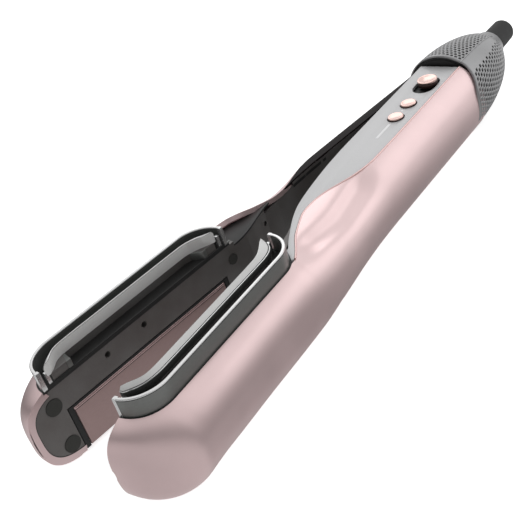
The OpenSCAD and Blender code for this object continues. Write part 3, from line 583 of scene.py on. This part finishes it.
for arm, place in ARMS.items():
    secs = []
    for k in np.concatenate([np.linspace(0, 0.4, 30), np.linspace(0.44, 0.56, 4),
                             np.linspace(0.6, 1, 30)]):
        secs.append([(*wall_point(k, d), z) for d, z in WALL_SECTION])
    wall_piece = loft(arm + "_nozzle_rim", secs, [GREY, LIGHT_TRIM_AND_PAINTED_HIGHLIGHT, DARK, BLACK_AND_PAINTED_SHADE], arm, place,
                      face_mats=WALL_MATS, auto=40)
    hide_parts(arm + "_nozzle_wall")

    # black floor low in the nozzle channel: painted shade at the bottom of the deep channel
    floor_loop = [wall_point(k, 0.9) for k in np.linspace(0, 1, 60)]
    slot = [(188, 9.1), (255, 9.1), (255, 13.8), (188, 13.8)]
    deck = flat_plate(arm + "_nozzle_floor_painted_shade", [floor_loop, slot], 37.0, 38.1, [BLACK_AND_PAINTED_SHADE], arm, place)
    # black ring round the foot of the nozzle wall: painted shadow in the gap between wall and skin
    shadow_ring_loop = [wall_point(k, -0.75) for k in np.linspace(0, 1, 80)]
    foot = flat_plate(arm + "_nozzle_shadow_ring", [shadow_ring_loop], 36.0, 37.15, [BLACK_AND_PAINTED_SHADE], arm, place,
                      edge=0.1)
    for tag, x0, x1 in (("front", 271.5, 273.5), ("rear", 168.2, 169.9)):
        post = flat_plate(arm + "_nozzle_post_" + tag,
                          [[(x0, 0.25), (x1, 0.25), (x1, 2.0), (x0, 2.0)]], 37.0, 45.95,
                          [LIGHT_TRIM_AND_PAINTED_HIGHLIGHT], arm, place, edge=0.18)

    inner, outer = path_points(INNER_EDGE, 70), path_points(OUTER_EDGE, 70)
    secs = []
    for (ix, iy), (ox, oy) in zip(inner, outer):
        width = math.hypot(ox - ix, oy - iy)
        keep = min(1.0, width / 2.7)
        secs.append([(ix + f * (ox - ix), iy + f * (oy - iy),
                      z if z < 44 else 47.3 - (47.3 - z) * (0.35 + 0.65 * keep))
                     for f, z in BAR_SECTION])
    bar = loft(arm + "_nozzle_blade", secs, [BAR, BAR_SIDE, LIGHT_TRIM_AND_PAINTED_HIGHLIGHT, BLACK_AND_PAINTED_SHADE], arm, place,
               face_mats=BAR_MATS, auto=32)
    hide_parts(arm + "_nozzle_bar")
    stem = flat_plate(arm + "_blade_stem", [[
        (180.2, 0.8), (181.0, 0.8), (184.2, 5.4), (188, 6.6), (255.6, 6.6), (257.8, 5.2),
        (259.2, 0.8), (267.4, 0.8), (266.6, 2.6), (263, 6.0), (260.4, 6.9), (254.5, 8.5),
        (186, 8.5), (180.2, 7.4), (176, 4.2), (174.4, 1.6), (174.6, 0.8)]],
        38.0, 41.8, [DARK], arm, place, edge=0.12)
    for tag, loop in (("front", [(257.3, 0.62), (259.5, 0.62), (259.5, 1.5), (257.6, 5.6),
                                 (256.5, 5.9)]),
                      ("rear", [(179.9, 0.62), (181.9, 0.62), (185.2, 5.6), (184.0, 5.9),
                                (180.2, 1.4)])):
        rib = flat_plate(arm + "_blade_rib_" + tag, [loop], 38.0, 41.75, [GREY], arm, place,
                         edge=0.15)
    for tag, x0 in (("front", 268.3), ("rear", 171.2)):
        tab = flat_plate(arm + "_blade_tab_" + tag,
                         [[(x0, 0.6), (x0 + 1.5, 0.6), (x0 + 1.5, 2.2), (x0, 2.2)]],
                         38.0, 43.4, [LIGHT_TRIM_AND_PAINTED_HIGHLIGHT], arm, place, edge=0.15)

    # thin light edge along the top of the inner face
    secs = [[(x, 0.42 + g, 37.15), (x, 0.42 + g, 37.5), (x, 0.55 + g, 37.62),
             (x, 0.95 + g, 37.62), (x, 0.95 + g, 37.15)]
            for x, g in [(166.5, 0.0), (200, 0.0), (235, 0.0), (271.2, 0.0)]]
    edge = loft(arm + "_face_edge", secs, [GREY], arm, place)

    # heated plate: its rounded upper edge is a lighter copy of the plate finish as painted
    # highlight, and the groove below it is black as painted shade
    sec = [(0.62, 1.4), (0.34, 1.75), (0.3, 2.1), (0.3, 20.35), (0.62, 20.42), (0.62, 20.62),
           (0.3, 20.7), (0.24, 21.0), (0.34, 21.4), (0.62, 21.75), (0.9, 21.8), (2.7, 21.8),
           (2.7, 1.4)]
    secs = [[(x, y + g, z) for y, z in sec]
            for x, g in [(177.0, 0.35), (177.25, 0.05), (177.6, 0.0), (221, 0.0), (264.8, 0.0),
                         (265.15, 0.05), (265.4, 0.35)]]
    plate = loft(arm + "_hot_plate", secs, [PLATE, PLATE_PAINTED_HIGHLIGHT, BLACK_AND_PAINTED_SHADE], arm + "_plate", place,
                 face_mats=[0, 0, 0, 2, 2, 2, 1, 1, 1, 1, 0, 0, 0], auto=40)
    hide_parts(arm + "_plate")
    for node in ("_stop_pads", "_plate_frame", "_liner"):
        bevel(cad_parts[arm + node], 0.18)

# --------------------------------------------------------------- handle details

strip_in = [(8.2, -12.1), (52, -12.4), (86, -12.5), (104, -11.9), (115, -10.9), (127.3, -9.4),
            (137.6, -7.4), (144.3, -5.1), (149.6, -2.8), (157, 1.0), (163, 4.2), (167.2, 6.9)]
strip_curve = curve_of(strip_in)
outline = [(x, strip_curve(x)) for x in np.concatenate([[8.2, 30, 52, 70], np.arange(86, 167, 2.0),
                                                        [167.2]])]
outline += [(169.3, 7.4), (170.6, 9.2), (172.2, 11.0), (173.4, 12.2), (174.5, 13.3)]
outline += [(x, handle_seam(x) - 0.35) for x in np.concatenate([np.arange(173.6, 96, -1.5),
                                                                [80, 60, 40, 20, 8.2]])]
KNOB_X, KNOB_Y = 25.4, 0.8
KNOB_BACK, KNOB_AHEAD = KNOB_X - 0.6, KNOB_X + 4.6      # ends of the slider's opening
BUTTONS = (("mode_button", 46.5), ("heat_button", 59.7))


def stadium(x0, x1, y, r, n=24):
    """Outline of a slot with round ends."""
    pts = [(x1 + r * math.sin(math.pi * k / n), y - r * math.cos(math.pi * k / n))
           for k in range(n + 1)]
    return pts + [(x0 - r * math.sin(math.pi * k / n), y + r * math.cos(math.pi * k / n))
                  for k in range(n + 1)]


holes = [stadium(KNOB_BACK, KNOB_AHEAD, KNOB_Y, 5.75)]
holes += [circle(x, KNOB_Y, 4.3) for _, x in BUTTONS]
strip = flat_plate("top_strip", [outline] + holes, 36.4, TOP_Z, [SILVER], "handle", on_handle,
                   edge=0.22)
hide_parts("control_strip")
well = flat_plate("switch_well", [stadium(KNOB_BACK, KNOB_AHEAD, KNOB_Y, 6.3)], 35.5, 36.2,
                  [BLACK_AND_PAINTED_SHADE], "handle", on_handle, edge=0.1)
under = flat_plate("strip_backing", [[(x, y - 0.2) for x, y in strip_in[1:]]
                                     + [(166, 9), (150, 1), (137, -2.6), (120, 1), (104, 6.5),
                                        (52, 8.5)]], 35.6, 36.35, [BLACK_AND_PAINTED_SHADE], "handle", on_handle,
                   edge=0.1)
deck_cover = flat_plate("handle_deck_cover", [[(146, -4.0), (152, -1.9), (157, -0.4), (162, 0.5),
                                              (168.2, 0.75), (169, 6.0), (164, 4.2), (157, 0.6),
                                              (150, -2.8)]], 35.8, 37.2, [DARK], "handle",
                        on_handle, edge=0.15)


def bead(name, points, r, m, body, place, n=10):
    """A round bead of radius r along a line of points."""
    p = np.array(points, float)
    t = np.gradient(p, axis=0)
    t /= np.linalg.norm(t, axis=1)[:, None]
    secs = []
    for q, d in zip(p, t):
        side = np.array([-d[1], d[0], 0.0])
        side /= np.linalg.norm(side)
        upward = np.cross(d, side)
        secs.append([tuple(q + r * (math.cos(2 * math.pi * k / n) * side
                                    + math.sin(2 * math.pi * k / n) * upward))
                     for k in range(n)])
    return loft(name, secs, [m], body, place, auto=60)


# rolled bright edge of the shell along the strip
seam_x = list(np.concatenate([[8, 30, 60, 80], np.arange(92, 174, 1.5)]))
seam_bead = bead("strip_seam_edge", [(x, handle_seam(x) + 0.22, 37.85) for x in seam_x], 0.42,
                 PEARL_EDGE, "handle", on_handle)

# handle's inner side
inner_tab = [(22, -12.3), (92, -12.2), (104, -11.8), (115, -10.9), (127, -9.4), (138, -7.2),
             (144, -5.2), (150, -3.0), (156, -1.0), (161, 0.1), (164.8, 0.6)]
inner_curve = curve_of(inner_tab)


def side_wall(name, curve, x0, x1, z0, z1, t, m, body, place):
    """An upright wall of thickness t along a curve, with its near edges eased."""
    secs = []
    for x in np.concatenate([[x0], np.arange(max(x0 + 4, 90), x1 - 1, 3.0), [x1]]):
        y = curve(x)
        secs.append([(x, y, z0 + 0.3), (x, y, z1 - 0.3), (x, y + 0.3, z1), (x, y + t, z1),
                     (x, y + t, z0), (x, y + 0.3, z0)])
    return loft(name, secs, [m], body, place, auto=40)


wall = side_wall("handle_inner_side", inner_curve, 22, 164.8, 2.1, 35.7, 1.7, DARK, "handle",
                 on_handle)
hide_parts("handle_side_wall")

# slider knob: lower sides painted dark as shade, and a dished polished top
base = ((KNOB_X - PIN_X), KNOB_Y, 0.0)
knob = lathe("slider_knob", [(0.02, 37.3), (4.9, 37.3), (5.15, 37.6), (5.15, 39.3), (5.0, 39.5),
                             (5.05, 39.6), (5.05, 40.3), (4.75, 40.5), (4.3, 40.5), (3.4, 40.15),
                             (1.6, 39.95), (0.02, 39.9)], base, "z", [SIDE_PAINTED_SHADE, ROSE_GOLD], "slider",
             face_mats=[0, 0, 0, 0, 1, 1, 1, 1, 1, 1, 1], auto=50)
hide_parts("power_slider")
# button caps: their sides painted dark as shade
for name, x in BUTTONS:
    cap_piece = lathe(name + "_cap", [(0.02, 37.0), (3.95, 37.0), (3.95, 38.55), (3.8, 38.9),
                                      (3.5, 39.05), (3.1, 39.0), (2.4, 38.85), (0.02, 38.8)],
                      (x - PIN_X, KNOB_Y, 0.0), "z", [ROSE_GOLD, SIDE_PAINTED_SHADE], name,
                      face_mats=[1, 1, 0, 0, 0, 0, 0], auto=50)
    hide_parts(name)

# ------------------------------------------------------------------ intake cap

AXIS_Y, AXIS_Z = -1.5, 21.5     # the handle's middle line, which the cap slides along
CAP_REAR, SLEEVE_HOLE = -46.0, 7.5
CAP_SHOULDER, CAP_TAPER, CAP_POWER = 6.5, 55.6, 1.85    # the cap narrows behind its shoulder


def ring_curve(points):
    """Periodic smooth table over the angle round the handle, in degrees."""
    table = curve_of([(a - 360, v) for a, v in points[-2:]] + points
                     + [(a + 360, v) for a, v in points[:2]])
    return lambda a: table(a % 360)


# angle 0 is the outer side, 90 the top
cap_radius = ring_curve([(0, 22.9), (30, 22.3), (56, 21.5), (90, 21.4), (135, 21.5), (180, 21.6),
                         (225, 21.6), (270, 21.45), (300, 22.2), (315, 22.8), (340, 23.2)])
cap_front = ring_curve([(0, 15.4), (12, 14.0), (25, 10.6), (40, 7.6), (54, 6.2), (62, 6.5),
                        (90, 6.5), (135, 6.5), (180, 6.5), (225, 6.5), (270, 9.0), (300, 13.6),
                        (330, 15.6), (345, 15.8)])


def cap_point(u, a):
    """u from 0 at the front rim to 1 at the sleeve, a the angle round the handle."""
    front = cap_front(a)
    x = front + (CAP_REAR - front) * u
    r = cap_radius(a)
    if x < CAP_SHOULDER:
        t = min(1.0, (CAP_SHOULDER - x) / CAP_TAPER)
        r *= (1 - t ** CAP_POWER) ** (1 / CAP_POWER)
    r = max(r, SLEEVE_HOLE + 1.2)
    rad = math.radians(a)
    return ((x - PIN_X) * MM, (AXIS_Y + r * math.cos(rad)) * MM, (AXIS_Z + r * math.sin(rad)) * MM)


ROWS, COLS = 20, 58
BAND_LO, BAND_HI = 35.0, 58.0   # a plain band without holes beside the strip
verts, faces, index = [], [], {}


def vert(u, a):
    """Index of the cap's point at (u, a), shared by the faces that meet there."""
    key = (round(u, 5), round(a % 360, 4))
    if key not in index:
        index[key] = len(verts)
        verts.append(cap_point(u, a % 360))
    return index[key]


# six-sided cells in staggered rows, each with an eight-sided hole in it
u_of = curve_of([(0, 0.0), (1, 0.035), (ROWS - 1, 0.93), (ROWS, 1.0)])
step = 360.0 / COLS
for row in range(ROWS):
    u0, u1 = u_of(row), u_of(row + 1)
    for col in range(COLS):
        a0 = (col + 0.5 * (row % 2)) * step
        a1, am = a0 + step, a0 + step / 2
        border = [vert(u0, a0), vert(u0, am), vert(u0, a1), vert(u1, a1), vert(u1, am),
                  vert(u1, a0)]
        band = BAND_LO + 4 * u0 < am % 360 < BAND_HI
        if row < 1 or row > ROWS - 3 or band:
            faces.append(tuple(border))
            continue
        um, du = 0.5 * (u0 + u1), (u1 - u0)
        ring = []
        for fu, fa in ((-0.35, -0.17), (-0.35, 0.17), (-0.19, 0.33), (0.19, 0.33), (0.35, 0.17),
                       (0.35, -0.17), (0.19, -0.33), (-0.19, -0.33)):
            ring.append(vert(um + fu * du, am + fa * step))
        b = border
        faces += [(b[0], b[1], ring[0]), (b[1], ring[1], ring[0]), (b[1], b[2], ring[1]),
                  (b[2], ring[2], ring[1]), (b[2], b[3], ring[3], ring[2]),
                  (b[3], ring[4], ring[3]), (b[3], b[4], ring[4]), (b[4], ring[5], ring[4]),
                  (b[4], b[5], ring[5]), (b[5], ring[6], ring[5]),
                  (b[5], b[0], ring[7], ring[6]), (b[0], ring[0], ring[7])]
grille = add_mesh("intake_grille", verts, faces, [CAP], "cap", auto=60)
thick = grille.modifiers.new("wall", "SOLIDIFY")
thick.thickness = 0.9 * MM
thick.offset = -1
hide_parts("intake_cap")
ridge = []
for u in np.linspace(0.0, 0.97, 30):
    ridge.append(tuple(c / MM for c in cap_point(u, 57.5)))
ridge = [(x + PIN_X, y, z) for x, y, z in ridge]
crease = bead("grille_ridge", ridge, 0.34, CAP, "cap", on_handle)

# black face of the step between strip and cap: painted shade on the cap rim's front face
step_shade_disc = lathe("rear_step_painted_shade", [(0.02, -7.4), (20.4, -7.4), (20.4, -5.6), (0.02, -5.6)],
                  (0.0, AXIS_Y, AXIS_Z), "x", [BLACK_AND_PAINTED_SHADE], "handle", n=72)

# ------------------------------------------------------------------ lever rear

lever_in = curve_of([(8.5, 12.95), (92, 12.9), (104, 12.5), (115, 11.6), (127, 10.1), (138, 7.9),
                     (144, 5.9), (150, 3.7), (156, 1.8), (161, 0.9), (166, 0.62)])
xs = np.concatenate([[8.8, 30, 60, 85], np.arange(95, 126.5, 1.5)])
band_loop = [(x, lever_in(x)) for x in xs]
band_loop += [(x, lever_seam(x) + 0.1) for x in xs[::-1]]
# the lever's dark top band; its brown tint is a painted reflection of the pink shell
band = flat_plate("lever_top_band", [band_loop], 32.2, 33.25, [DARK_BAND_PAINTED_REFLECTION], "lever", on_lever,
                  edge=0.2)
side = side_wall("lever_inner_side", lever_in, 20, 114, 3.0, 32.9, 1.1, DARK, "lever", on_lever)
cover_x = np.arange(133, 169, 2.0)
cover = flat_plate("lever_deck_cover",
                   [[(x, lever_in(x)) for x in cover_x]
                    + [(x, max(lever_seam(x) + 0.2, lever_in(x) + 0.5)) for x in cover_x[::-1]]],
                   33.2, 34.2, [BLACK_AND_PAINTED_SHADE], "lever", on_lever, edge=0.15)

# ---------------------------------------------------------------- floor, light

FLOOR, FLOOR_Z = 3, -0.0004     # half the width of the floor and its height, in metres

floor_mesh = bpy.data.meshes.new("floor")
floor_mesh.from_pydata([(x, y, FLOOR_Z) for x, y in ((-FLOOR, -FLOOR), (FLOOR, -FLOOR),
                                                     (FLOOR, FLOOR), (-FLOOR, FLOOR))],
                       [], [(0, 1, 2, 3)])
floor = bpy.data.objects.new("floor", floor_mesh)
scene.collection.objects.link(floor)
floor_mesh.materials.append(lit_from_within(
    material("floor_white", (0.9, 0.9, 0.9), 0.9, mottle=0.004, mottle_scale=3, grain=0.01,
             grain_scale=80, spec=0.1), 0.72))
floor.visible_glossy = False


def area(name, loc, target, size_x, size_y, power):
    """A rectangular soft light aimed at a target."""
    data = bpy.data.lights.new(name, "AREA")
    data.shape = "RECTANGLE"
    data.size, data.size_y = size_x, size_y
    data.energy = power
    light = bpy.data.objects.new(name, data)
    light.location = loc
    light.rotation_euler = (Vector(target) - Vector(loc)).to_track_quat("-Z", "Y").to_euler()
    scene.collection.objects.link(light)
    return light


# The surroundings are light behind the handle arm, dark at its side, and grey below.
WORLD_TOWARD = (-0.8, -0.1, 0.6)
WORLD_TONES = [(0.0, 0.32), (0.36, 0.40), (0.54, 0.09), (0.63, 0.24), (0.74, 0.58), (1.0, 0.69)]
WORLD_GAIN = 1.5

world = bpy.data.worlds.new("studio")
world.use_nodes = True
wt = world.node_tree
sky = wt.nodes["Background"]
sky.inputs["Color"].default_value = (1, 1, 1, 1)
direction = wt.nodes.new("ShaderNodeTexCoord")
toward = wt.nodes.new("ShaderNodeVectorMath")
toward.operation = "DOT_PRODUCT"
toward.inputs[1].default_value = Vector(WORLD_TOWARD).normalized()
tone = wt.nodes.new("ShaderNodeValToRGB")
tone.color_ramp.interpolation = "LINEAR"
while len(tone.color_ramp.elements) < len(WORLD_TONES):
    tone.color_ramp.elements.new(0.5)
for el, (pos, val) in zip(tone.color_ramp.elements, WORLD_TONES):
    el.position = pos
    el.color = (val, val, val, 1)
half = wt.nodes.new("ShaderNodeMapRange")
half.inputs["From Min"].default_value = -1.0
wt.links.new(direction.outputs["Generated"], toward.inputs[0])
wt.links.new(toward.outputs["Value"], half.inputs["Value"])
wt.links.new(half.outputs["Result"], tone.inputs["Fac"])
gain = wt.nodes.new("ShaderNodeMath")
gain.operation = "MULTIPLY"
gain.inputs[1].default_value = WORLD_GAIN
wt.links.new(tone.outputs["Color"], gain.inputs[0])
wt.links.new(gain.outputs["Value"], sky.inputs["Strength"])
scene.world = world
area("handle_box", (-0.42, 0.40, 0.36), (0.03, 0.01, 0.03), 0.5, 0.5, 0.32)
area("rear_box", (-0.45, -0.45, 0.5), (0.05, 0, 0.03), 0.4, 0.4, 0.4)
scene.view_settings.view_transform = "Standard"
